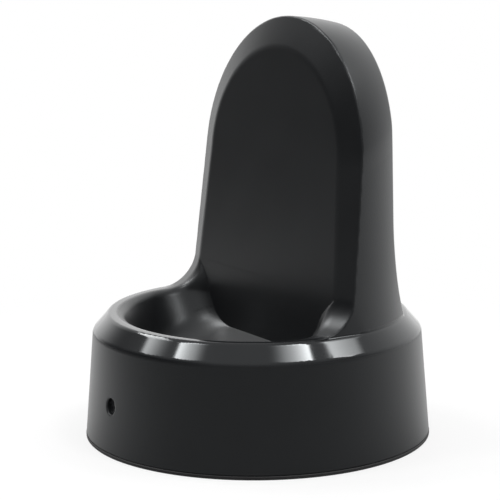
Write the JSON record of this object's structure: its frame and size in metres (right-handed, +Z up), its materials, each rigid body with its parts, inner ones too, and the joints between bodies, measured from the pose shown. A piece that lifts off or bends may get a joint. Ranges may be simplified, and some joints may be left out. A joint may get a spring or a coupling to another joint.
{
  "type": "wireless watch charger",
  "caption": "Round-based wireless charging stand for a watch, with an upright arched tower whose flat front panel hides the charging coil and a shallow cup at its foot.",
  "frame": {"origin": "centre of the round base's underside, on the surface that the stand rests on", "axes": "+Z up along the base's axis, -Y towards the front that the charging panel faces, +X to the right seen from the front"},
  "size_m": [0.056, 0.056, 0.0673],
  "materials": {
    "moulded_black": "satin",
    "foot_rubber": "matte",
    "steel": "satin",
    "plated": "polished",
    "gilt": "polished",
    "board_green": "gloss",
    "package_black": "matte",
    "ceramic_tan": "matte",
    "ferrite_grey": "matte",
    "clear_plastic": "gloss",
    "copper": "satin",
    "white_pad": "matte",
    "red_insulation": "gloss"
  },
  "bodies": {
    "root": {"housing": "moulded_black", "bottom_cover": "moulded_black", "foot_pad": "foot_rubber", "ballast_plate": "steel", "cover_screws": "plated", "circuit_board": "board_green", "board_screws": "plated", "usb_shell": "plated", "usb_tongue": "package_black", "usb_contacts": "gilt", "controller_chip": "package_black", "power_transistors": "package_black", "power_inductor": "ferrite_grey", "tank_capacitors": "ceramic_tan", "input_capacitors": "ceramic_tan", "chip_resistors": "package_black", "status_led": "clear_plastic", "light_pipe": "clear_plastic", "coil_winding": "copper", "ferrite_disc": "ferrite_grey", "holding_magnet": "plated", "adhesive_pad": "white_pad", "coil_bracket": "package_black", "coil_leads": "red_insulation"}
  },
  "joints": []
}
